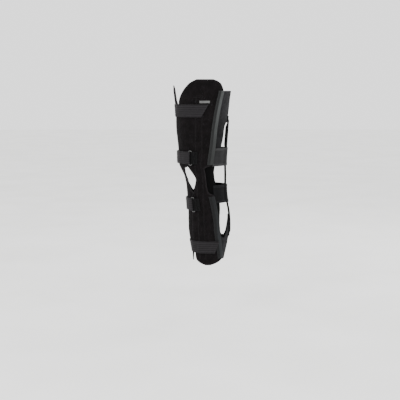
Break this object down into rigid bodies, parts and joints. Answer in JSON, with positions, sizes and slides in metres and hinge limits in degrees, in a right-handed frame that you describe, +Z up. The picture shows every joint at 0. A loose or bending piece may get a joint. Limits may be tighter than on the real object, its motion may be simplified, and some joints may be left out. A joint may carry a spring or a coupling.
{
  "type": "knee immobilizer",
  "caption": "Full-length padded knee immobilizer in its worn form, with side stays, open rear window, kneecap openings, hook straps and strap rings.",
  "frame": {"origin": "middle of the knee, on the axis of the leg that the brace goes round", "axes": "+Z up the leg, -Y to the front of the knee, +X to the outer side of the left leg"},
  "size_m": [0.1795, 0.188, 0.601],
  "materials": {
    "panel_laminate": "black brushed loop fabric laminated to foam",
    "rear_laminate": "charcoal loop fabric laminated to foam",
    "elastic": "knitted elastic",
    "stay_webbing": "black woven sleeve",
    "edge_tape": "grey folded tape",
    "strap_webbing": "dark grey ribbed webbing",
    "ring_nylon": "glossy black moulded nylon",
    "tag_satin": "light grey woven satin"
  },
  "bodies": {
    "root": {"outer_panel": "panel_laminate", "inner_panel": "panel_laminate", "front_panel": "panel_laminate", "rear_panel": "rear_laminate", "rear_stay_sleeve": "stay_webbing", "upper_elastic_bar": "elastic", "lower_elastic_bar": "elastic", "outer_upper_edge_tape": "edge_tape", "outer_lower_edge_tape": "edge_tape", "inner_upper_edge_tape": "edge_tape", "inner_lower_edge_tape": "edge_tape", "thigh_strap": "strap_webbing", "above_knee_strap": "strap_webbing", "below_knee_strap": "strap_webbing", "ankle_strap": "strap_webbing", "above_knee_ring_tab": "stay_webbing", "below_knee_ring_tab": "stay_webbing", "above_knee_ring": "ring_nylon", "below_knee_ring": "ring_nylon", "woven_tag": "tag_satin"}
  },
  "joints": []
}
